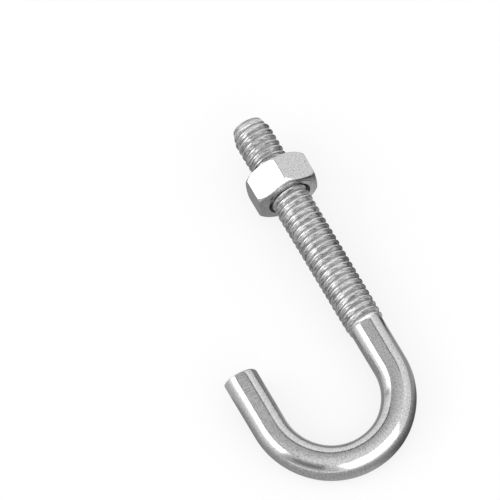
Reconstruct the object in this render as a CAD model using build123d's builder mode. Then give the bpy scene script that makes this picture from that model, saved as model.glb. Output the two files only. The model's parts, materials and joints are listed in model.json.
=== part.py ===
"""J bolt: a round steel bar, rolled with a coarse right-hand thread at one end and bent into a hook at
the other, with one hex nut on the thread.

The bolt lies as it comes to rest on a flat surface at Z = 0: on one corner of the nut and on the foot
of the hook. The shank runs along +Y to the threaded tip, the hook turns back on the -X side, and the
origin is the middle of the footprint. All sizes are in millimetres, all angles in degrees.
"""

from build123d import *
import os
from math import acos, atan2, cos, hypot, radians, sin

# ---- the bar and its hook
rod_diameter = 7.1
shank_length = 60.7  # from the start of the bend to the tip
side_bend_radius = 15.4  # to the bar's centre, where the bend leaves either leg
foot_bend_radius = 12.7  # to the bar's centre, round the foot of the hook
side_bend_angle = 45.0  # how far each side bend turns before the foot takes over
tail_length = 13.2  # straight leg after the bend
tail_cut_slant = 8.0  # the tail is sheared out of square, shorter on top
tail_edge_round = 0.5

# ---- the rolled thread, held here as the cylinder over its crests
thread_diameter = 7.9
thread_length = 51.2  # tip to the end of the run-out
thread_runout = 1.4  # where the rolls let go and the crests sink into the bar
tip_diameter = 6.2
tip_cone_length = 2.4

# ---- the nut
nut_across_flats = 12.7
nut_thickness = 7.0
nut_face_diameter = 11.3  # flat ring that bears on the work
nut_round_start = 14.0  # slope of the rounded corners where they leave the ring
nut_round_end = 62.0  # and where they reach the corner edges
nut_countersink = 0.35
nut_position = 14.7  # tip of the bolt to the middle of the nut
nut_turn = 4.0  # how far the nut is screwed past corner up
thread_clearance = 0.05  # between the crests and the nut's bore, all round

# ---- sizes that follow
rod_radius = rod_diameter / 2
thread_radius = thread_diameter / 2
nut_corner_radius = nut_across_flats / 2 / cos(radians(30))
nut_face_radius = nut_face_diameter / 2
nut_round_width = nut_corner_radius - nut_face_radius
nut_round_radius = nut_round_width / (sin(radians(nut_round_end)) - sin(radians(nut_round_start)))
nut_round_depth = nut_round_radius * (cos(radians(nut_round_start)) - cos(radians(nut_round_end)))
nut_centre = shank_length - nut_position
nut_near_face = nut_centre - nut_thickness / 2
nut_far_face = nut_centre + nut_thickness / 2
thread_start = shank_length - thread_length

foot_half_angle = 90 - side_bend_angle
side_bend_width = side_bend_radius * (1 - cos(radians(side_bend_angle)))
side_bend_depth = side_bend_radius * sin(radians(side_bend_angle))
foot_bend_width = foot_bend_radius * sin(radians(foot_half_angle))
foot_bend_depth = foot_bend_radius * (1 - cos(radians(foot_half_angle)))
leg_spacing = 2 * (side_bend_width + foot_bend_width)
hook_depth = side_bend_depth + foot_bend_depth

# ---- how the bolt lies: the lowest nut corner and the foot of the hook both touch Z = 0
nut_low_corner = nut_corner_radius * cos(radians(nut_turn))
nut_support = nut_near_face + nut_round_depth + hook_depth
rest_tilt = acos(rod_radius / hypot(nut_low_corner, nut_support)) - atan2(nut_support, nut_low_corner)
left_reach = leg_spacing + rod_radius
right_reach = nut_corner_radius * cos(radians(30 - nut_turn))
front_reach = hook_depth * cos(rest_tilt) + rod_radius
back_reach = shank_length * cos(rest_tilt) + tip_diameter / 2 * sin(rest_tilt)
bend_start = Vector(
    (left_reach - right_reach) / 2,
    (front_reach - back_reach) / 2,
    rod_radius + hook_depth * sin(rest_tilt),
)
# the plane of the J: X across it, Y up the shank to the tip, origin where the bend starts
hook_plane = Plane(bend_start, x_dir=(1, 0, 0), z_dir=(0, -sin(rest_tilt), cos(rest_tilt)))
shank_axis = Axis(bend_start, hook_plane.y_dir)
nut_plane = Plane(
    hook_plane.from_local_coords(Vector(0, nut_centre, 0)),
    x_dir=hook_plane.z_dir,
    z_dir=hook_plane.y_dir,
)


with BuildPart() as hook_bolt:
    # the bar, bent through three tangent arcs
    with BuildLine(hook_plane) as centre_line:
        shank = Line((0, thread_start), (0, 0))
        outer_bend = JernArc(shank @ 1, shank % 1, side_bend_radius, -side_bend_angle)
        foot_bend = JernArc(outer_bend @ 1, outer_bend % 1, foot_bend_radius, -2 * foot_half_angle)
        inner_bend = JernArc(foot_bend @ 1, foot_bend % 1, side_bend_radius, -side_bend_angle)
        tail_end = inner_bend @ 1 + inner_bend % 1 * tail_length
        Line(inner_bend @ 1, inner_bend @ 1 + inner_bend % 1 * (tail_length + rod_radius))
    with BuildSketch(Plane(shank @ 0, z_dir=shank % 0)):
        Circle(rod_radius)
    sweep()

    # shears cut the tail out of square and leave its edge soft
    shear_plane = Plane(tail_end, x_dir=hook_plane.x_dir, z_dir=hook_plane.y_dir)
    with Locations(shear_plane.rotated((tail_cut_slant, 0, 0))):
        Box(
            2 * rod_diameter,
            2 * rod_diameter,
            rod_diameter,
            align=(Align.CENTER, Align.CENTER, Align.MIN),
            mode=Mode.SUBTRACT,
        )
    fillet(hook_bolt.edges(Select.NEW), tail_edge_round)

    # the threaded end stands proud of the bar, coned at the tip and down to the bar
    with BuildSketch(hook_plane):
        with BuildLine():
            Polyline(
                (0, thread_start),
                (rod_radius, thread_start),
                (thread_radius, thread_start + thread_runout),
                (thread_radius, shank_length - tip_cone_length),
                (tip_diameter / 2, shank_length),
                (0, shank_length),
                close=True,
            )
        make_face()
    revolve(axis=shank_axis)
hook_bolt.part.label = "hook_bolt"

with BuildPart() as hex_nut:
    with BuildSketch(nut_plane):
        RegularPolygon(nut_corner_radius, side_count=6, rotation=nut_turn)
    extrude(amount=nut_thickness / 2, both=True)

    # the corners are forged round towards both faces, down to the flat rings
    with BuildSketch(hook_plane):
        with BuildLine():
            JernArc(
                (nut_face_radius, nut_near_face),
                (cos(radians(nut_round_start)), sin(radians(nut_round_start))),
                nut_round_radius,
                nut_round_end - nut_round_start,
            )
            Line(
                (nut_corner_radius, nut_near_face + nut_round_depth),
                (nut_corner_radius, nut_far_face - nut_round_depth),
            )
            JernArc(
                (nut_corner_radius, nut_far_face - nut_round_depth),
                (-cos(radians(nut_round_end)), sin(radians(nut_round_end))),
                nut_round_radius,
                nut_round_end - nut_round_start,
            )
            Polyline(
                (nut_face_radius, nut_far_face),
                (0, nut_far_face),
                (0, nut_near_face),
                (nut_face_radius, nut_near_face),
            )
        make_face()
    revolve(axis=shank_axis, mode=Mode.INTERSECT)

    # the bore runs clear of the crests and is countersunk at both faces
    with Locations(nut_plane):
        Hole(thread_radius + thread_clearance)
    chamfer(hex_nut.edges(Select.NEW), nut_countersink)
hex_nut.part.label = "hex_nut"

os.makedirs("parts", exist_ok=True)
export_step(hook_bolt.part, "parts/hook_bolt.step")
export_step(hex_nut.part, "parts/hex_nut.step")
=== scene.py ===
"""Looks of a zinc-plated J bolt with one hex nut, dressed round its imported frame.

All lengths are in metres in the row frame: the bolt lies on Z = 0 on a corner of the nut and the
foot of the hook, the shank runs along +Y to the threaded tip, and the hook turns back on -X.
"""

import json
import logging
import math
from dataclasses import dataclass, field
from enum import Enum

import bmesh
import bpy
import numpy as np
from mathutils import Matrix, Vector


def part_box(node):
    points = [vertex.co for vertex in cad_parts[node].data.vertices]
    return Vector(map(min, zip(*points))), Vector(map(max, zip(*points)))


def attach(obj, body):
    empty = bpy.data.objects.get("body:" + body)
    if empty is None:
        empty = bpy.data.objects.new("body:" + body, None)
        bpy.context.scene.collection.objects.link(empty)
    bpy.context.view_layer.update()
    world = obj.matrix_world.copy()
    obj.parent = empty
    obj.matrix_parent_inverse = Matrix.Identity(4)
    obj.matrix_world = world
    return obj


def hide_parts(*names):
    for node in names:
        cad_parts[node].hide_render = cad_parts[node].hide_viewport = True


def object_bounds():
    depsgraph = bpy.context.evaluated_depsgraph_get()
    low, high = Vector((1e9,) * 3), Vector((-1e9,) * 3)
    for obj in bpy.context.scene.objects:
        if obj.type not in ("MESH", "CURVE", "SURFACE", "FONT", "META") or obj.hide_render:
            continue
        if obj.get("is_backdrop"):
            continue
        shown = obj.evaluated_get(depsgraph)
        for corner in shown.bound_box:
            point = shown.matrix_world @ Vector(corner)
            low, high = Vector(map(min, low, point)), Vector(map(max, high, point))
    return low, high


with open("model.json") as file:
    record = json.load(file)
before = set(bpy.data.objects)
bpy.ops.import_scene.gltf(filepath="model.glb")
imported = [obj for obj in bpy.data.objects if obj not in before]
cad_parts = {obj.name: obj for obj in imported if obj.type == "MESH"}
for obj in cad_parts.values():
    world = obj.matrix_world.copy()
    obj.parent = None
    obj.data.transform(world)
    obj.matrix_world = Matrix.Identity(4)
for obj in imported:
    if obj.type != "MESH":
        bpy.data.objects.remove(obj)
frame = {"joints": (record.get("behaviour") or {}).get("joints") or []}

MM = 0.001
WELD_DISTANCE = 1e-4 * MM
log = logging.getLogger("j_bolt")


class ZincSlot(Enum):
    """Names of the record's material slots for the bolt and the nut."""

    BOLT = "bolt_zinc"
    NUT = "nut_zinc"


# ---------------------------------------------------------------- shapes


@dataclass(frozen=True)
class RolledThread:
    """Section of a rolled coarse right-hand thread, as a radius that repeats every pitch."""

    pitch: float = 25.4 * MM / 18
    crest_radius: float = 3.95 * MM
    root_radius: float = 3.14 * MM
    start: float = 0.50  # share of a turn by which the crest trails the shank's outer side
    spare_turns: int = 2  # wound past each end and cut off there
    # half a pitch from the crest's middle to the root's: share of the pitch, share of the depth
    half_section: tuple[tuple[float, float], ...] = (
        (0.0, 0.0),
        (0.058, 0.0),
        (0.070, 0.005),
        (0.088, 0.035),
        (0.120, 0.12),
        (0.220, 0.38),
        (0.330, 0.665),
        (0.440, 0.95),
        (0.475, 0.995),
    )

    def section(self) -> tuple[np.ndarray, np.ndarray]:
        """The whole section of one pitch.

        Returns:
            The shares of the pitch, from one crest's middle up to the next, and the radius at each.
        """
        half = list(self.half_section) + [(0.5, 1.0)]
        whole = half + [(1.0 - phase, depth) for phase, depth in reversed(half[1:-1])]
        phase, depth = np.array(whole).T
        return phase, self.crest_radius - depth * (self.crest_radius - self.root_radius)

    def radius(self, turns: np.ndarray) -> np.ndarray:
        """Radius of the thread at a number of turns from a crest's middle.

        Args:
            turns: Distance along the helix in turns, of any sign.

        Returns:
            The radius at each of them.
        """
        phase, radius = self.section()
        return np.interp(np.mod(turns, 1.0), np.append(phase, 1.0), np.append(radius, radius[0]))

    @property
    def climb(self) -> int:
        """How many rows a line that runs round the bar has climbed when it comes round."""
        return len(self.section()[0])

    def rows(self, low: float, high: float, angles: np.ndarray) -> np.ndarray:
        """Rows of points that climb with the thread, past both ends of a stretch.

        Args:
            low: Distance from the tip at which the stretch starts.
            high: Distance from the tip at which it ends.
            angles: The angles round the bar that every row has its points at.

        Returns:
            The distance of every point from the tip, held to the stretch.
        """
        phase, _ = self.section()
        first = math.floor(low / self.pitch) - self.spare_turns
        last = math.ceil(high / self.pitch) + self.spare_turns
        starts = (np.arange(first, last)[:, None] + phase + self.start).reshape(-1)
        return np.clip((starts[:, None] + angles / (2 * math.pi)) * self.pitch, low, high)

    def turns(self, reach: np.ndarray, angle: np.ndarray) -> np.ndarray:
        """Turns from a crest's middle at a place on the shank.

        Args:
            reach: Distance from the tip along the shank.
            angle: Angle round the bar from its outer side.

        Returns:
            The number of turns, the same for the bolt and for the nut's bore.
        """
        return reach / self.pitch - angle / (2 * math.pi) - self.start


@dataclass(frozen=True)
class BarLine:
    """The middle of the bent bar, measured from the threaded tip round the hook to the tail."""

    shank_length: float = 60.7 * MM
    side_bend_radius: float = 15.4 * MM
    foot_bend_radius: float = 12.7 * MM
    side_bend_angle: float = math.radians(45.0)
    tail_length: float = 13.2 * MM
    rod_radius: float = 3.55 * MM
    thread_radius: float = 3.95 * MM
    along: Vector = field(default_factory=lambda: Vector(frame["joints"][0]["axis"]).normalized())

    @property
    def across(self) -> Vector:
        """Direction from the tail's leg to the shank."""
        return Vector((1.0, 0.0, 0.0))

    @property
    def up(self) -> Vector:
        """Direction square to the plane of the J, away from the floor."""
        return self.across.cross(self.along)

    @property
    def bend_start(self) -> Vector:
        """Where the shank ends and the hook begins, set from the bolt's own box.

        Returns:
            The place in the row frame.
        """
        low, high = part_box("hook_bolt")
        foot = low.y + self.rod_radius
        drop = self.hook_depth
        return Vector((
            high.x - self.thread_radius,
            foot + drop * self.along.y,
            self.rod_radius + drop * self.along.z,
        ))

    @property
    def foot_bend_angle(self) -> float:
        """How far the bend at the foot of the hook turns."""
        return math.pi - 2 * self.side_bend_angle

    @property
    def hook_depth(self) -> float:
        """How far the middle of the bar at the foot lies below the start of the bend."""
        side = self.side_bend_radius * math.sin(self.side_bend_angle)
        return side + self.foot_bend_radius * (1 - math.sin(self.side_bend_angle))

    @property
    def bend_length(self) -> float:
        """Length of the three bends, along the middle of the bar."""
        side = 2 * self.side_bend_radius * self.side_bend_angle
        return side + self.foot_bend_radius * self.foot_bend_angle

    @property
    def length(self) -> float:
        """Whole length from the tip to the middle of the tail's end."""
        return self.shank_length + self.bend_length + self.tail_length

    def middle(self, reach: np.ndarray) -> tuple[np.ndarray, np.ndarray]:
        """Places on the middle of the bar and the way to its outer side there.

        Args:
            reach: Distances from the tip along the bar, of any shape.

        Returns:
            The places and the unit vectors, each with a last axis of three.
        """
        past = np.asarray(reach, float) - self.shank_length
        side = self.side_bend_radius * self.side_bend_angle
        foot = self.foot_bend_radius * self.foot_bend_angle
        first = np.clip(past, 0.0, side) / self.side_bend_radius
        second = np.clip(past - side, 0.0, foot) / self.foot_bend_radius
        third = np.clip(past - side - foot, 0.0, side) / self.side_bend_radius
        turn_foot, turn_last = self.side_bend_angle + second, math.pi - self.side_bend_angle + third
        corner = self.side_bend_angle
        x = -self.side_bend_radius * (1 - np.cos(first))
        y = -self.side_bend_radius * np.sin(first)
        x += -self.foot_bend_radius * (math.cos(corner) - np.cos(turn_foot))
        y += -self.foot_bend_radius * (np.sin(turn_foot) - math.sin(corner))
        x += -self.side_bend_radius * (-math.cos(corner) - np.cos(turn_last))
        y += -self.side_bend_radius * (np.sin(turn_last) - math.sin(math.pi - corner))
        y += np.where(past < 0, -past, 0.0) + np.clip(past - self.bend_length, 0.0, None)
        turned = first + second + third
        across, along = np.array(self.across), np.array(self.along)
        place = np.array(self.bend_start) + x[..., None] * across + y[..., None] * along
        outward = np.cos(turned)[..., None] * across - np.sin(turned)[..., None] * along
        return place, outward

    def skin(self, reach: np.ndarray, angle: np.ndarray, radius: np.ndarray) -> np.ndarray:
        """Points round the bar.

        Args:
            reach: Distance of each point from the tip along the bar.
            angle: Angle of each point round the bar, from its outer side toward the top.
            radius: Distance of each point from the middle of the bar.

        Returns:
            The points in the row frame.
        """
        place, outward = self.middle(reach)
        side = np.cos(angle)[..., None] * outward + np.sin(angle)[..., None] * np.array(self.up)
        return place + radius[..., None] * side


class Skin:
    """Collects the skin of one piece as grids of points, and welds them into one mesh."""

    def __init__(self, line: BarLine, angles: np.ndarray) -> None:
        """Starts an empty skin round a bar.

        Args:
            line: The middle of the bar that all grids are wound on.
            angles: The angles round the bar that every row has its points at.
        """
        self.line = line
        self.angles = angles
        self.points: list[np.ndarray] = []
        self.places: list[np.ndarray] = []
        self.depths: list[np.ndarray] = []
        self.faces: list[tuple[int, int, int, int]] = []

    def add_grid(self, reach: np.ndarray, radius: np.ndarray, depth: np.ndarray, climb: int = 0) -> None:
        """Adds a grid of rows that run round the bar.

        Args:
            reach: Distance from the tip of every point, one row for each line round the bar.
            radius: Distance from the middle of the bar, in the same layout.
            depth: How deep in the thread each point lies, from 0 to 1, in the same layout.
            climb: How many rows a line has climbed when it comes round, which is 0 for a ring.
        """
        rows, columns = reach.shape
        angle = np.broadcast_to(self.angles, reach.shape)
        first = sum(len(done) for done in self.points)
        self.points.append(self.line.skin(reach, angle, radius).reshape(-1, 3))
        place = np.stack((radius * np.cos(angle), radius * np.sin(angle), reach), axis=-1)
        self.places.append(place.reshape(-1, 3))
        self.depths.append(depth.reshape(-1))
        for row in range(rows - 1):
            for column in range(columns):
                step = 0 if column + 1 < columns else climb
                if row + 1 + step >= rows:
                    continue
                here = first + row * columns + column
                beside = first + (row + step) * columns + (column + 1) % columns
                self.faces.append((here, beside, beside + columns, here + columns))

    def add_rings(self, reach: np.ndarray, radius: np.ndarray) -> None:
        """Adds plain rings.

        Args:
            reach: Distance from the tip of each ring, or of each point of each ring.
            radius: Radius of each ring, or of each point of each ring.
        """
        full = np.zeros((len(reach), len(self.angles)))
        reach = full + (reach if reach.ndim == 2 else reach[:, None])
        radius = full + (radius if radius.ndim == 2 else radius[:, None])
        self.add_grid(reach, radius, full)

    def build(self, name: str) -> bpy.types.Object:
        """Welds what was added into one closed mesh.

        Args:
            name: Name of the piece.

        Returns:
            The new object, at the origin, with its place in its mesh.
        """
        work = bmesh.new()
        place_layer = work.verts.layers.float_vector.new("bar_place")
        depth_layer = work.verts.layers.float.new("thread_depth")
        places, depths = np.concatenate(self.places), np.concatenate(self.depths)
        for point, place, depth in zip(np.concatenate(self.points), places, depths):
            corner = work.verts.new(point)
            corner[place_layer] = place
            corner[depth_layer] = depth
        work.verts.ensure_lookup_table()
        for face in self.faces:
            work.faces.new([work.verts[corner] for corner in face]).smooth = True
        bmesh.ops.remove_doubles(work, verts=work.verts, dist=WELD_DISTANCE)
        bmesh.ops.recalc_face_normals(work, faces=work.faces)
        mesh = bpy.data.meshes.new(name)
        work.to_mesh(mesh)
        work.free()
        piece = bpy.data.objects.new(name, mesh)
        bpy.context.scene.collection.objects.link(piece)
        return piece


# ---------------------------------------------------------------- finishes


class NodeSheet:
    """Short ways to add and join the nodes of one material or world."""

    def __init__(self, tree: bpy.types.NodeTree) -> None:
        """Clears the tree and keeps it."""
        tree.nodes.clear()
        self.tree = tree

    def add(self, kind: str, inputs: dict | None = None, **settings: object) -> bpy.types.Node:
        """Adds one node.

        Args:
            kind: Blender's name for the node type.
            inputs: What goes into its sockets, by name or number: a value, or a socket to link.
            **settings: Values for the node's own properties.

        Returns:
            The new node.
        """
        node = self.tree.nodes.new(kind)
        for key, value in settings.items():
            setattr(node, key, value)
        for key, value in (inputs or {}).items():
            if isinstance(value, bpy.types.NodeSocket):
                self.tree.links.new(value, node.inputs[key])
            else:
                node.inputs[key].default_value = value
        return node

    def ramp(self, value: bpy.types.NodeSocket, low: tuple, high: tuple) -> bpy.types.NodeSocket:
        """Maps a value smoothly from one range to another.

        Args:
            value: The socket to map.
            low: The value and the result at the lower end.
            high: The value and the result at the upper end.

        Returns:
            The socket that holds the result.
        """
        ends = {"From Min": low[0], "From Max": high[0], "To Min": low[1], "To Max": high[1]}
        inputs = {"Value": value, **ends}
        return self.add("ShaderNodeMapRange", inputs, interpolation_type="SMOOTHSTEP").outputs["Result"]

    def math(self, operation: str, one: object, two: object) -> bpy.types.NodeSocket:
        """Joins two values with one operation and returns the result's socket."""
        return self.add("ShaderNodeMath", {0: one, 1: two}, operation=operation).outputs[0]

    def scaled(self, vector: bpy.types.NodeSocket, scale: tuple[float, float, float]) -> bpy.types.NodeSocket:
        """Stretches a vector along its axes and returns the result's socket."""
        return self.add("ShaderNodeVectorMath", {0: vector, 1: scale}, operation="MULTIPLY").outputs[0]

    def mixed(self, share: bpy.types.NodeSocket, low: object, high: object) -> bpy.types.NodeSocket:
        """Mixes two colours.

        Args:
            share: The socket with the share of the second colour.
            low: The first colour, as three numbers or a socket.
            high: The second colour, in the same way.

        Returns:
            The socket that holds the mixed colour.
        """
        mix = self.add("ShaderNodeMix", {0: share}, data_type="RGBA", clamp_factor=True)
        sockets = [socket for socket in mix.inputs if socket.type == "RGBA"]
        for socket, colour in zip(sockets, (low, high)):
            if isinstance(colour, bpy.types.NodeSocket):
                self.tree.links.new(colour, socket)
            else:
                socket.default_value = (*colour, 1.0)
        return next(socket for socket in mix.outputs if socket.type == "RGBA")


@dataclass(frozen=True)
class Cloud:
    """One cloud of noise in the zinc."""

    scale: float  # clouds per millimetre
    detail: float  # how many finer layers it has
    stretch: tuple[float, float, float] = (1.0, 1.0, 1.0)  # below 1 along a way in which it is drawn out
    roughness: float = 0.55

    def add(self, sheet: NodeSheet, spot: bpy.types.NodeSocket) -> bpy.types.NodeSocket:
        """Adds the cloud to a material.

        Args:
            sheet: The material's nodes.
            spot: The place on the piece, in millimetres.

        Returns:
            The socket that holds the noise, from 0 to 1.
        """
        inputs = {
            "Vector": sheet.scaled(spot, self.stretch),
            "Scale": self.scale,
            "Detail": self.detail,
            "Roughness": self.roughness,
        }
        return sheet.add("ShaderNodeTexNoise", inputs).outputs["Fac"]


@dataclass(frozen=True)
class ZincFinish:
    """Bright zinc plate over steel: mottled, faintly pitted, drawn along the bar, rolled round the thread,
    with painted shade at the bottom of the thread.
    """

    name: str
    tint: tuple[float, float, float] = (0.76, 0.76, 0.765)
    dull_tint: tuple[float, float, float] = (0.54, 0.54, 0.545)
    pit_tint: tuple[float, float, float] = (0.25, 0.25, 0.25)
    hollow_shade_tint: tuple[float, float, float] = (0.45, 0.45, 0.45)  # painted shade at the very bottom of the thread
    streak_tints: tuple[tuple[float, float, float], ...] = ((0.36, 0.36, 0.36), (0.96, 0.96, 0.96))
    roughness: tuple[float, float] = (0.10, 0.22)
    flank_roughness: float = 0.20  # added down the thread's flanks
    mottle: Cloud = Cloud(3.6, 6.0)
    streak: Cloud = Cloud(8.0, 2.0, (0.09, 0.09, 1.0))
    wave: Cloud = Cloud(0.7, 2.0)
    ripple: Cloud = Cloud(2.6, 3.0)
    grain: Cloud = Cloud(7.0, 3.0)
    drawn: Cloud = Cloud(5.0, 3.0, (1.0, 1.0, 0.05))
    rolled: Cloud = Cloud(3.2, 3.0, (0.14, 0.14, 1.0))
    pit_scale: float = 0.8  # pits per millimetre
    wave_height: float = 0.006 * MM
    ripple_height: float = 0.0030 * MM
    grain_height: float = 0.0022 * MM
    drawn_height: float = 0.0010 * MM
    rolled_height: float = 0.030 * MM
    pit_height: float = 0.006 * MM
    # the depth in the thread, from 0 on the plain bar to 1 at the root, at which each starts and is full
    threaded_from: tuple[float, float] = (0.0, 0.25)
    flank_from: tuple[float, float] = (0.30, 0.42)
    hollow_shade_from: tuple[float, float] = (0.80, 0.96)

    def material(self) -> bpy.types.Material:
        """Builds the node material of this finish.

        Returns:
            The material.
        """
        material = bpy.data.materials.new(self.name)
        material.use_nodes = True
        sheet = NodeSheet(material.node_tree)
        place = sheet.add("ShaderNodeAttribute", attribute_name="bar_place").outputs["Vector"]
        depth = sheet.add("ShaderNodeAttribute", attribute_name="thread_depth").outputs["Fac"]
        spot = sheet.scaled(place, (1 / MM,) * 3)
        threaded, flank, hollow_shade = (
            sheet.ramp(depth, (start, 0.0), (full, 1.0))
            for start, full in (self.threaded_from, self.flank_from, self.hollow_shade_from)
        )
        pits = sheet.add("ShaderNodeTexVoronoi", {"Vector": spot, "Scale": self.pit_scale})
        pit = sheet.ramp(pits.outputs["Distance"], (0.05, 0.0), (0.12, 1.0))
        grain = self.grain.add(sheet, spot)
        rough = sheet.ramp(grain, (0.35, self.roughness[0]), (0.70, self.roughness[1]))
        inputs = {
            "Base Color": self.colour(sheet, spot, flank, pit, hollow_shade),
            "Metallic": 1.0,
            "Roughness": sheet.math("ADD", rough, sheet.math("MULTIPLY", flank, self.flank_roughness)),
            "Normal": self.relief(sheet, spot, threaded, grain, pit),
        }
        shader = sheet.add("ShaderNodeBsdfPrincipled", inputs)
        sheet.add("ShaderNodeOutputMaterial", {"Surface": shader.outputs[0]})
        return material

    def colour(
        self,
        sheet: NodeSheet,
        spot: bpy.types.NodeSocket,
        flank: bpy.types.NodeSocket,
        pit: bpy.types.NodeSocket,
        hollow_shade: bpy.types.NodeSocket,
    ) -> bpy.types.NodeSocket:
        """Mottles the zinc, darkens its pits, and paints shade at the bottom of the thread.

        Args:
            sheet: The material's nodes.
            spot: The place on the piece, in millimetres.
            flank: How far down the thread's flank, from 0 to 1.
            pit: 0 in a pit and 1 beside it.
            hollow_shade: How near the very bottom of the thread, from 0 to 1.

        Returns:
            The socket that holds the colour.
        """
        clean = sheet.ramp(self.mottle.add(sheet, spot), (0.32, 0.0), (0.62, 1.0))
        streak = sheet.ramp(self.streak.add(sheet, spot), (0.36, 0.0), (0.60, 1.0))
        plain = sheet.mixed(clean, self.dull_tint, self.tint)
        colour = sheet.mixed(flank, plain, sheet.mixed(streak, *self.streak_tints))
        # painted shade: the bottom of the thread is darkened toward the hollow tint, where shade falls
        return sheet.mixed(hollow_shade, sheet.mixed(pit, self.pit_tint, colour), self.hollow_shade_tint)

    def relief(
        self,
        sheet: NodeSheet,
        spot: bpy.types.NodeSocket,
        threaded: bpy.types.NodeSocket,
        grain: bpy.types.NodeSocket,
        pit: bpy.types.NodeSocket,
    ) -> bpy.types.NodeSocket:
        """Lays the fine relief on the zinc, coarse first.

        Args:
            sheet: The material's nodes.
            spot: The place on the piece, in millimetres.
            threaded: 1 on the thread and 0 on the plain bar.
            grain: The finest cloud.
            pit: 0 in a pit and 1 beside it.

        Returns:
            The socket that holds the normal.
        """
        plain = sheet.math("SUBTRACT", 1.0, threaded)
        inputs = {"Strength": 1.0}
        for height, tall in (
            (self.wave.add(sheet, spot), self.wave_height),
            (self.ripple.add(sheet, spot), self.ripple_height),
            (grain, self.grain_height),
            (sheet.math("MULTIPLY", plain, self.drawn.add(sheet, spot)), self.drawn_height),
            (sheet.math("MULTIPLY", threaded, self.rolled.add(sheet, spot)), self.rolled_height),
            (pit, self.pit_height),
        ):
            inputs |= {"Height": height, "Distance": tall}
            inputs["Normal"] = sheet.add("ShaderNodeBump", inputs).outputs["Normal"]
        return inputs["Normal"]


@dataclass(frozen=True)
class FloorFinish:
    """Smooth white paper with a barely visible tooth, which keeps a light shadow."""

    name: str = "white_paper"
    tint: tuple[float, float, float] = (0.94, 0.94, 0.94)
    pale_tint: tuple[float, float, float] = (0.96, 0.96, 0.96)
    tooth_scale: float = 900.0
    own_white: float = 0.75  # share of plain white in what the camera, metal and glass see of it

    def material(self) -> bpy.types.Material:
        """Builds the node material of the floor.

        Returns:
            The material.
        """
        material = bpy.data.materials.new(self.name)
        material.use_nodes = True
        sheet = NodeSheet(material.node_tree)
        place = sheet.add("ShaderNodeTexCoord").outputs["Object"]
        tooth = sheet.add("ShaderNodeTexNoise", {"Vector": place, "Scale": self.tooth_scale}).outputs["Fac"]
        paper = sheet.add("ShaderNodeBsdfDiffuse", {"Color": sheet.mixed(tooth, self.tint, self.pale_tint)})
        white = sheet.add("ShaderNodeEmission", {"Color": (1.0, 1.0, 1.0, 1.0), "Strength": 1.0})
        path = sheet.add("ShaderNodeLightPath").outputs
        seen = sheet.math("MAXIMUM", path["Is Camera Ray"], path["Is Glossy Ray"])
        seen = sheet.math("MAXIMUM", seen, path["Is Transmission Ray"])
        share = sheet.math("MULTIPLY", seen, self.own_white)
        blend = sheet.add("ShaderNodeMixShader", {0: share, 1: paper.outputs[0], 2: white.outputs[0]})
        sheet.add("ShaderNodeOutputMaterial", {"Surface": blend.outputs[0]})
        return material


# ---------------------------------------------------------------- pieces


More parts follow.
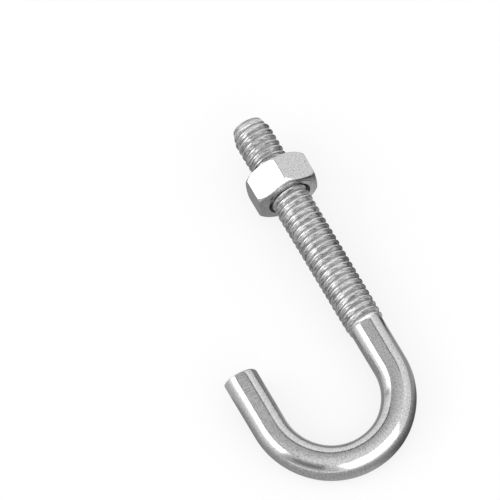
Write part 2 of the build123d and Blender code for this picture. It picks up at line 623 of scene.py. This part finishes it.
@dataclass
class HookBolt:
    """The bent bar with its rolled thread, domed tip and sheared tail."""

    line: BarLine
    thread: RolledThread
    finish: ZincFinish
    sides: int = 96
    thread_length: float = 51.2 * MM
    run_out: float = 1.4 * MM
    tip_radius: float = 3.10 * MM
    tip_cone_length: float = 2.4 * MM
    tip_dome: float = 0.12 * MM
    tail_slant: float = math.radians(8.0)
    tail_edge: tuple[float, float] = (0.15 * MM, 0.7 * MM)  # rounding of the crisp and of the rolled side
    tail_end: float = 2.0 * MM  # last stretch of the tail, which holds the cut
    crest_depth: float = 0.3  # depth that the crests are marked with, to tell them from the plain bar
    tip_rings: int = 8
    leg_rings: int = 8
    bend_rings: int = 96

    def __post_init__(self) -> None:
        """Sets out the angles that every row has its points at."""
        self.angles = np.arange(self.sides) * 2 * math.pi / self.sides

    def build(self) -> bpy.types.Object:
        """Builds the bolt, dresses it and lets it stand for its CAD solid.

        Returns:
            The bolt.
        """
        skin = Skin(self.line, self.angles)
        self.add_thread(skin)
        self.add_tip(skin)
        self.add_bar(skin)
        self.add_tail_end(skin)
        bolt = skin.build("zinc_hook_bolt")
        bolt.data.materials.append(self.finish.material())
        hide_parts("hook_bolt")
        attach(bolt, "bolt")
        return bolt

    def add_thread(self, skin: Skin) -> None:
        """Winds the thread on as one helical grid, cut square at the tip and sunk into the bar.

        Args:
            skin: The bolt's skin, which the grid is added to.
        """
        rod, crest = self.line.rod_radius, self.line.thread_radius
        reach = self.thread.rows(self.tip_dome, self.thread_length, self.angles)
        proud = self.thread.radius(self.thread.turns(reach, self.angles)) - rod
        # the crests sink into the bar at the run-out, and the roots rise to it sooner
        sink = np.clip((self.thread_length - reach) / self.run_out, 0.0, 1.0)
        radius = rod + proud * np.where(proud > 0, np.sqrt(sink), sink * sink)
        slope = (crest - self.tip_radius) / self.tip_cone_length
        radius = np.minimum(radius, self.tip_radius + (reach - self.tip_dome) * slope)
        depth = np.clip((crest - radius) / (crest - self.thread.root_radius), 0.0, 1.0)
        depth = np.where(sink > 0, self.crest_depth + (1 - self.crest_depth) * depth, 0.0)
        skin.add_grid(reach, radius, depth, self.thread.climb)

    def add_tip(self, skin: Skin) -> None:
        """Closes the tip with a shallow dome."""
        share = np.linspace(0.0, 1.0, self.tip_rings + 1)
        skin.add_rings(self.tip_dome * share**2, self.tip_radius * share)

    def add_bar(self, skin: Skin) -> None:
        """Adds the plain shank, the bends and the tail's leg up to its last stretch.

        Args:
            skin: The bolt's skin, which the rings are added to.
        """
        bend = self.line.shank_length
        tail = bend + self.line.bend_length
        spans = (
            (self.thread_length, bend, self.leg_rings),
            (bend, tail, self.bend_rings),
            (tail, self.line.length - self.tail_end, self.leg_rings),
        )
        stops = np.unique(np.concatenate([np.linspace(low, high, rings + 1) for low, high, rings in spans]))
        skin.add_rings(stops, np.full(len(stops), self.line.rod_radius))

    def add_tail_end(self, skin: Skin) -> None:
        """Ends the tail where shears cut it: out of square, crisp outside and rolled over inside.

        Args:
            skin: The bolt's skin, which the rings are added to.
        """
        crisp, rolled = self.tail_edge
        edge = crisp + (rolled - crisp) * (0.5 - 0.5 * np.cos(self.angles)) ** 2
        reach = [np.full(self.sides, self.line.length - self.tail_end)]
        radius = [np.full(self.sides, self.line.rod_radius)]
        for turn in np.linspace(0.0, math.pi / 2, 7):
            ring = self.line.rod_radius - edge * (1 - math.cos(turn))
            reach.append(self.cut(ring) - edge * (1 - math.sin(turn)))
            radius.append(ring)
        for share in np.linspace(0.85, 0.0, 6):
            ring = share * (self.line.rod_radius - edge)
            reach.append(self.cut(ring))
            radius.append(ring)
        skin.add_rings(np.array(reach), np.array(radius))

    def cut(self, ring: np.ndarray) -> np.ndarray:
        """Where the shears' plane lies along the bar.

        Args:
            ring: Distance from the middle of the bar at each angle.

        Returns:
            The distance from the tip at each angle.
        """
        return self.line.length - ring * np.sin(self.angles) * math.tan(self.tail_slant)


@dataclass
class HexNut:
    """A hex nut, its corners forged round at both faces, with a thread in its bore that fits the bolt's."""

    line: BarLine
    thread: RolledThread
    finish: ZincFinish
    across_flats: float = 12.7 * MM
    thickness: float = 7.0 * MM
    face_radius: float = 5.65 * MM
    round_start: float = math.radians(14.0)  # slope of the rounded corners at the bearing ring
    round_end: float = math.radians(62.0)  # and at the corner edges
    position: float = 14.7 * MM
    corner_turn: float = math.radians(4.0)
    corner_round: float = 0.25 * MM
    edge_round: float = 0.12 * MM
    ring_step: float = 0.07 * MM  # how far the bearing ring stands proud
    bore_gap: float = 0.06 * MM
    bore_minor_radius: float = 3.32 * MM
    countersink_radius: float = 4.62 * MM
    bore_depth: float = 0.9  # depth that the bore's crests are marked with, so that painted shade darkens all of it
    flat_steps: int = 16
    corner_steps: int = 4
    face_steps: int = 7

    def __post_init__(self) -> None:
        """Sets out the angles round the nut, close together at its corners."""
        self.arc_centre = (self.across_flats / 2 - self.corner_round) / math.cos(math.radians(30))
        edge = math.atan2(self.arc_centre / 2, self.across_flats / 2)
        sixth = math.radians(30)
        flat = np.linspace(-edge, edge, self.flat_steps + 1)[:-1]
        corner = np.linspace(edge, 2 * sixth - edge, self.corner_steps + 1)[:-1]
        self.sector = np.concatenate((flat, corner))
        first_flat = math.pi / 2 - self.corner_turn - sixth
        self.angles = np.concatenate([first_flat + 2 * sixth * side + self.sector for side in range(6)])

    def outline(self) -> np.ndarray:
        """Works out the nut's outline, with its flats and rounded corners.

        Returns:
            The distance from the bore's middle at each angle.
        """
        sixth = math.radians(30)
        off_flat = np.mod(self.sector + sixth, 2 * sixth) - sixth
        flat = self.across_flats / 2 / np.cos(off_flat)
        off_corner = sixth - np.abs(off_flat)
        reach = self.arc_centre * np.sin(off_corner)
        inside = np.abs(reach) < self.corner_round
        bulge = np.sqrt(np.where(inside, self.corner_round**2 - reach**2, 0.0))
        corner = np.where(inside, self.arc_centre * np.cos(off_corner) + bulge, flat)
        return np.tile(np.minimum(flat, corner), 6)

    def build(self) -> bpy.types.Object:
        """Builds the nut, dresses it and lets it stand for its CAD solid.

        Returns:
            The nut.
        """
        skin = Skin(self.line, self.angles)
        self.add_bore(skin)
        self.add_faces_and_flats(skin)
        nut = skin.build("zinc_hex_nut")
        nut.data.materials.append(self.finish.material())
        weighted = nut.modifiers.new("flat_faces", "WEIGHTED_NORMAL")
        weighted.weight = 100
        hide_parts("hex_nut")
        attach(nut, "nut")
        return nut

    def add_bore(self, skin: Skin) -> None:
        """Winds the nut's own thread inside the bore, clear of the bolt's and countersunk.

        Args:
            skin: The nut's skin, which the grid is added to.
        """
        low, high = self.position - self.thickness / 2, self.position + self.thickness / 2
        reach = self.thread.rows(low, high, self.angles)
        radius = self.thread.radius(self.thread.turns(reach, self.angles)) + self.bore_gap
        radius = np.maximum(radius, self.bore_minor_radius)
        sink = np.minimum(reach - low, high - reach)
        radius = np.maximum(radius, self.countersink_radius - sink)
        depth = (radius - self.bore_minor_radius) / (self.countersink_radius - self.bore_minor_radius)
        depth = self.bore_depth + (1 - self.bore_depth) * np.clip(depth, 0.0, 1.0)
        skin.add_grid(reach, radius, depth, self.thread.climb)

    def fall(self, radius: np.ndarray) -> np.ndarray:
        """How far the rounded corners have fallen back from the face.

        Args:
            radius: Distances from the bore's middle.

        Returns:
            The depth below the face at each of them, which is 0 on the bearing ring.
        """
        full = self.across_flats / 2 / math.cos(math.radians(30)) - self.face_radius
        bend = full / (math.sin(self.round_end) - math.sin(self.round_start))
        past = np.clip(radius - self.face_radius, 0.0, full)
        slope = np.arcsin(math.sin(self.round_start) + past / bend)
        return bend * (math.cos(self.round_start) - np.cos(slope))

    def add_faces_and_flats(self, skin: Skin) -> None:
        """Adds the bearing rings, the rounded corners and the six flats.

        Args:
            skin: The nut's skin, which the rings are added to.
        """
        outline = self.outline()
        level = np.zeros(len(self.angles))
        edge, half = self.edge_round, self.thickness / 2
        mouth = self.countersink_radius
        # the bearing ring, with its outer edge eased
        rows = [
            (level + mouth, level + half),
            (level + mouth + 0.05 * MM, level + half),
            (level + 5.0 * MM, level + half),
            (level + self.face_radius - edge, level + half),
            (level + self.face_radius - 0.3 * edge, level + half - 0.05 * edge),
        ]
        # the rounded corners
        for share in np.linspace(0.0, 1.0, self.face_steps + 1):
            radius = self.face_radius + 0.4 * edge + share * (outline - self.face_radius - 1.4 * edge)
            rows.append((radius, half - self.fall(radius) - self.ring_step * (1 - share) ** 3))
        # the edge in which they meet the flats, and one half of the flats
        crest, foot = half - self.fall(outline - edge), half - self.fall(outline)
        for turn in (0.25, 0.5, 0.75, 1.0):
            radius = outline - edge * (1 - turn) ** 2
            height = (1 - turn) ** 2 * crest + 2 * turn * (1 - turn) * foot + turn**2 * (foot - edge)
            rows.append((radius, height))
        rows += [(outline, (foot - edge) * share) for share in (0.6, 0.2)]
        # the same again on the far side
        rows += [(radius, -height) for radius, height in reversed(rows)]
        radius = np.array([row[0] for row in rows])
        reach = self.position - np.array([row[1] for row in rows])
        skin.add_rings(reach, radius)


# ---------------------------------------------------------------- studio


@dataclass(frozen=True)
class SoftBox:
    """A soft studio lamp, placed by where it stands round the bolt."""

    name: str
    azimuth: float  # degrees from +Y toward +X
    elevation: float
    width: float  # degrees that it fills, as seen from the bolt
    height: float
    radiance: float
    distance: float = 1.2

    def place(self, centre: Vector) -> bpy.types.Object:
        """Makes the lamp and points it at the bolt.

        Args:
            centre: The middle of the bolt.

        Returns:
            The lamp.
        """
        width = 2 * self.distance * math.tan(math.radians(self.width / 2))
        height = 2 * self.distance * math.tan(math.radians(self.height / 2))
        lamp = bpy.data.lights.new(self.name, "AREA")
        lamp.shape = "RECTANGLE"
        lamp.size, lamp.size_y = width, height
        lamp.energy = self.radiance * math.pi * width * height
        holder = bpy.data.objects.new(self.name, lamp)
        way = direction(self.azimuth, self.elevation)
        holder.location = centre + way * self.distance
        holder.rotation_euler = way.to_track_quat("Z", "Y").to_euler()
        bpy.context.scene.collection.objects.link(holder)
        return holder


@dataclass(frozen=True)
class Card:
    """A far card that glows as a painted reflection in the metal, plain or graded in height. Nothing else
    sees it.
    """

    name: str
    azimuth: float
    elevation: float
    width: float
    height: float
    glow: tuple[float, float] = (0.0, 0.0)  # radiance at its lower and upper edge
    distance: float = 1.1

    def place(self, centre: Vector) -> bpy.types.Object:
        """Makes the card, curved round the bolt.

        Args:
            centre: The middle of the bolt.

        Returns:
            The card.
        """
        low, high = self.elevation - self.height / 2, self.elevation + self.height / 2
        left, right = self.azimuth - self.width / 2, self.azimuth + self.width / 2
        rails = [
            [centre + direction(turn, level) * self.distance for turn in np.linspace(left, right, 13)]
            for level in np.linspace(low, high, 5)
        ]
        return ReflectedSheet(self.name).place(rails, np.linspace(*self.glow, 5)[:, None] + np.zeros(13))


@dataclass(frozen=True)
class FloorShade:
    """Painted shade: a glowing sheet close beside the bar that stands in for the floor's shadow in the
    metal's reflections. Nothing else sees it.
    """

    name: str
    line: BarLine
    side: float  # 1 on the outer side of the J, -1 on its inner side
    # distance from the tip, width, and radiance next to the bar and at the far edge
    stops: tuple[tuple[float, float, float, float], ...]
    start: float = 1.0 * MM
    lift: float = 0.15 * MM

    def place(self) -> bpy.types.Object:
        """Lays the shade beside the bar.

        Returns:
            The sheet.
        """
        table = np.array(self.stops)
        reach = np.linspace(table[0, 0], table[-1, 0], 80)
        width, near, far = (np.interp(reach, table[:, 0], table[:, column]) for column in (1, 2, 3))
        middle, outward = self.line.middle(reach)
        shares = np.linspace(0.0, 1.0, 7)
        rails, glow = [], []
        for share in shares:
            points = middle + self.side * outward * (self.start + share * width)[:, None]
            rails.append([Vector((point[0], point[1], self.lift)) for point in points])
            glow.append(near + (far - near) * share)
        return ReflectedSheet(self.name).place(rails, np.array(glow))


@dataclass(frozen=True)
class TableShade:
    """The even painted shade that only the metal sees on the floor further out, all round the bolt: a glowing
    sheet.
    """

    centre: Vector
    # azimuth from +Y toward +X, and radiance
    stops: tuple[tuple[float, float], ...] = (
        (0.0, 0.60),
        (45.0, 0.66),
        (75.0, 0.60),
        (95.0, 0.40),
        (130.0, 0.33),
        (165.0, 0.40),
        (195.0, 0.42),
        (225.0, 0.48),
        (255.0, 0.48),
        (275.0, 0.58),
        (300.0, 0.60),
        (320.0, 0.55),
        (360.0, 0.60),
    )
    reach: float = 260.0 * MM
    lift: float = 0.05 * MM

    def place(self) -> bpy.types.Object:
        """Lays the shade round the bolt.

        Returns:
            The sheet.
        """
        table = np.array(self.stops)
        turns = np.linspace(0.0, 360.0, 73)
        glow = np.interp(turns, table[:, 0], table[:, 1])
        rails = []
        for share in (0.02, 0.1, 0.3, 1.0):
            ring = [self.centre + direction(turn, 0.0) * self.reach * share for turn in turns]
            rails.append([Vector((point.x, point.y, self.lift)) for point in ring])
        return ReflectedSheet("table_shade").place(rails, np.tile(glow, (4, 1)))


@dataclass(frozen=True)
class ReflectedSheet:
    """A sheet of the studio that only the metal sees, with its own glow at each of its points: a painted
    reflection.
    """

    name: str

    def place(self, rails: list[list[Vector]], glow: np.ndarray) -> bpy.types.Object:
        """Makes the sheet.

        Args:
            rails: Rows of points across the sheet.
            glow: The radiance at each point, in the same layout.

        Returns:
            The sheet.
        """
        work = bmesh.new()
        layer = work.verts.layers.float.new("glow")
        grid = [[work.verts.new(point) for point in rail] for rail in rails]
        for rail, values in zip(grid, glow):
            for corner, value in zip(rail, values):
                corner[layer] = float(value)
        for low, high in zip(grid, grid[1:]):
            for column in range(len(low) - 1):
                work.faces.new((low[column], low[column + 1], high[column + 1], high[column]))
        mesh = bpy.data.meshes.new(self.name)
        work.to_mesh(mesh)
        work.free()
        card = bpy.data.objects.new(self.name, mesh)
        bpy.context.scene.collection.objects.link(card)
        card.data.materials.append(self.material())
        card.visible_camera = card.visible_shadow = card.visible_diffuse = False
        card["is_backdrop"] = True
        return card

    def material(self) -> bpy.types.Material:
        """Builds the sheet's dull coat, which glows as each point says.

        Returns:
            The material.
        """
        material = bpy.data.materials.new(self.name)
        material.use_nodes = True
        sheet = NodeSheet(material.node_tree)
        glow = sheet.add("ShaderNodeAttribute", attribute_name="glow").outputs["Fac"]
        coat = sheet.add("ShaderNodeEmission", {"Color": (1.0, 1.0, 1.0, 1.0), "Strength": glow})
        sheet.add("ShaderNodeOutputMaterial", {"Surface": coat.outputs[0]})
        return material


def direction(azimuth: float, elevation: float) -> Vector:
    """Unit vector for an azimuth from +Y toward +X and an elevation.

    Args:
        azimuth: Degrees round the vertical.
        elevation: Degrees above the floor.

    Returns:
        The unit vector.
    """
    turn, rise = math.radians(azimuth), math.radians(elevation)
    return Vector((math.sin(turn) * math.cos(rise), math.cos(turn) * math.cos(rise), math.sin(rise)))


@dataclass
class Studio:
    """The floor, the world, the lamps and the cards round the bolt."""

    centre: Vector
    line: BarLine
    floor_size: float = 6.0
    room_radiance: float = 0.78  # overhead
    room_fade: float = 0.60  # how much less comes from the back of the studio
    room_limit: float = 0.88
    white_below: float = 0.02  # the room is plain white from just over the horizon down
    back_panel: Card = Card("back_panel", 40.0, 22.5, 150.0, 41.0, (0.78, 1.04))
    lamps: tuple[SoftBox, ...] = (
        SoftBox("left_lamp", -69.0, 38.0, 50.0, 28.0, 1.8),
        SoftBox("front_lamp", 165.0, 32.0, 66.0, 46.0, 1.1),
    )
    cards: tuple[Card, ...] = (
        Card("panel_edge", 12.0, 46.5, 64.0, 6.5, (0.0, 0.0)),
        Card("panel_end", 58.0, 46.5, 28.0, 6.0, (0.1, 0.1)),
        Card("left_lamp_edge", -70.0, 54.5, 60.0, 4.0, (0.30, 0.30)),
        Card("left_fade", -68.0, 11.0, 60.0, 26.0, (0.58, 1.15)),
        Card("left_lamp_side", -99.0, 27.0, 10.0, 50.0, (0.45, 0.60)),
        Card("between_lamps_low", -121.0, 18.5, 34.0, 23.0, (0.52, 0.16)),
        Card("between_lamps_high", -121.0, 41.5, 34.0, 23.0, (0.16, 0.62)),
        Card("front_lamp_side", -145.0, 30.0, 14.0, 46.0, (0.55, 0.85)),
        Card("left_gap", -38.0, 14.0, 5.0, 40.0, (0.35, 0.35)),
    )

    def build(self) -> None:
        """Builds everything in the studio but the camera."""
        self.build_world()
        self.build_floor()
        for lamp in self.lamps:
            lamp.place(self.centre)
        self.back_panel.place(self.centre).visible_diffuse = True
        for card in self.cards:
            card.place(self.centre)
        TableShade(self.centre).place()
        for shade in self.shades():
            shade.place()
        log.info("studio: %d lamps and %d cards", len(self.lamps), 1 + len(self.cards))

    def shades(self) -> tuple[FloorShade, ...]:
        """The painted shades on the floor beside the bar, which only the metal sees.

        Returns:
            One for each side of the J.
        """
        bend = self.line.shank_length
        foot, tail = bend + self.line.bend_length / 2, bend + self.line.bend_length
        outer = (
            (0.0, 20 * MM, 0.30, 0.0),
            (17 * MM, 20 * MM, 0.30, 0.0),
            (18 * MM, 20 * MM, 0.65, 0.0),
            (25 * MM, 20 * MM, 0.50, 0.0),
            (28 * MM, 20 * MM, 0.20, 0.0),
            (bend - 13 * MM, 20 * MM, 0.20, 0.0),
            (bend - 11 * MM, 6 * MM, 0.45, 0.65),
            (bend, 8 * MM, 0.30, 0.55),
            (bend + 6 * MM, 22 * MM, 0.05, 0.34),
            (bend + 16 * MM, 22 * MM, 0.05, 0.34),
            (foot, 14 * MM, 0.50, 0.30),
            (tail, 30 * MM, 0.25, 0.54),
            (self.line.length, 30 * MM, 0.25, 0.54),
        )
        inner = (
            (0.0, 22 * MM, 0.32, 0.26),
            (bend - 9 * MM, 22 * MM, 0.32, 0.26),
            (bend, 9 * MM, 0.40, 0.34),
            (foot, 7 * MM, 0.30, 0.70),
            (tail, 9 * MM, 0.40, 0.65),
            (self.line.length, 9 * MM, 0.40, 0.65),
        )
        return (
            FloorShade("outer_shade", self.line, 1.0, outer),
            FloorShade("inner_shade", self.line, -1.0, inner),
        )

    def build_world(self) -> None:
        """Fills the room with soft light that fades from the front of the studio to its back."""
        world = bpy.data.worlds.new("pale_room")
        world.use_nodes = True
        sheet = NodeSheet(world.node_tree)
        way = sheet.add("ShaderNodeTexCoord").outputs["Generated"]
        parts = sheet.add("ShaderNodeSeparateXYZ", {"Vector": way}).outputs
        light = sheet.math("SUBTRACT", self.room_radiance, sheet.math("MULTIPLY", parts["Y"], self.room_fade))
        light = sheet.math("MINIMUM", light, self.room_limit)
        light = sheet.math("MAXIMUM", light, sheet.math("LESS_THAN", parts["Z"], self.white_below))
        room = sheet.add("ShaderNodeBackground", {"Color": (1.0, 1.0, 1.0, 1.0), "Strength": light})
        sheet.add("ShaderNodeOutputWorld", {"Surface": room.outputs[0]})
        bpy.context.scene.world = world

    def build_floor(self) -> None:
        """Lays the floor that the bolt rests on."""
        half = self.floor_size / 2
        mesh = bpy.data.meshes.new("studio_floor")
        corners = [(-half, -half, 0.0), (half, -half, 0.0), (half, half, 0.0), (-half, half, 0.0)]
        mesh.from_pydata(corners, [], [(0, 1, 2, 3)])
        floor = bpy.data.objects.new("studio_floor", mesh)
        bpy.context.scene.collection.objects.link(floor)
        floor.data.materials.append(FloorFinish().material())
        floor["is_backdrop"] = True


@dataclass
class TiltedCamera:
    """The camera, set by how the J stands in its view."""

    line: BarLine
    lean: float = math.radians(24.5)  # how far the tip leans away from the view
    roll: float = math.radians(-6.06)  # how far the J's plane is turned about the shank
    heading: float = math.radians(120.93)  # where the tip points in the view, from the right
    view_parts: float = 500.0  # the view is laid out in a square of this many parts
    parts_a_mm: float = 5.034
    anchor: tuple[float, float] = (389.82, 365.19)  # of the bend's start in it, from the top left
    distance: float = 1.0

    def axes(self) -> tuple[Vector, Vector, Vector]:
        """Works out how the camera is turned.

        Returns:
            Its right, up and backward directions in the row frame.
        """
        cosine, sine = math.cos(self.heading), math.sin(self.heading)
        along = Vector((math.cos(self.lean) * cosine, math.cos(self.lean) * sine, -math.sin(self.lean)))
        level = Vector((sine, -cosine, 0.0))
        across = math.cos(self.roll) * level + math.sin(self.roll) * level.cross(along)
        up = across.cross(along)
        own = (self.line.across, self.line.along, self.line.up)
        seen = (across, along, up)
        return tuple(sum((part[k] * axis for part, axis in zip(seen, own)), Vector()) for k in range(3))

    def build(self) -> bpy.types.Object:
        """Makes the camera and sets it as the scene's own.

        Returns:
            The camera.
        """
        right, up, back = self.axes()
        width = self.view_parts / self.parts_a_mm * MM
        aside, down = (place / self.view_parts - 0.5 for place in self.anchor)
        middle = self.line.bend_start + (up * down - right * aside) * width
        lens = bpy.data.cameras.new("studio_camera")
        lens.type = "ORTHO"
        lens.ortho_scale = width
        lens.clip_start, lens.clip_end = 0.01, 10.0
        camera = bpy.data.objects.new("studio_camera", lens)
        camera.location = middle + back * self.distance
        camera.rotation_mode = "QUATERNION"
        camera.rotation_quaternion = Matrix((right, up, back)).transposed().to_quaternion()
        bpy.context.scene.collection.objects.link(camera)
        bpy.context.scene.camera = camera
        return camera


def corners(box: tuple[Vector, Vector]) -> list[list[float]]:
    """A box as plain lists of numbers.

    Args:
        box: Its lowest and highest corners.

    Returns:
        The two corners as lists.
    """
    return [[float(part) for part in corner] for corner in box]


def main() -> None:
    """Builds the pieces and the studio in order."""
    logging.basicConfig(level=logging.INFO, format="%(name)s: %(message)s")
    cad_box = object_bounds()
    line, thread = BarLine(), RolledThread()
    pieces = (
        HookBolt(line, thread, ZincFinish("bright_zinc_bar")),
        # the nut's bore is painted near black as painted shade
        HexNut(line, thread, ZincFinish("bright_zinc_nut", hollow_shade_tint=(0.06, 0.06, 0.06))),
    )
    for piece in pieces:
        made = piece.build()
        log.info("%s: %d faces", made.name, len(made.data.polygons))
    Studio((cad_box[0] + cad_box[1]) / 2, line).build()
    TiltedCamera(line).build()
    bpy.context.scene.view_settings.view_transform = "Standard"


if __name__ == "__main__":
    main()
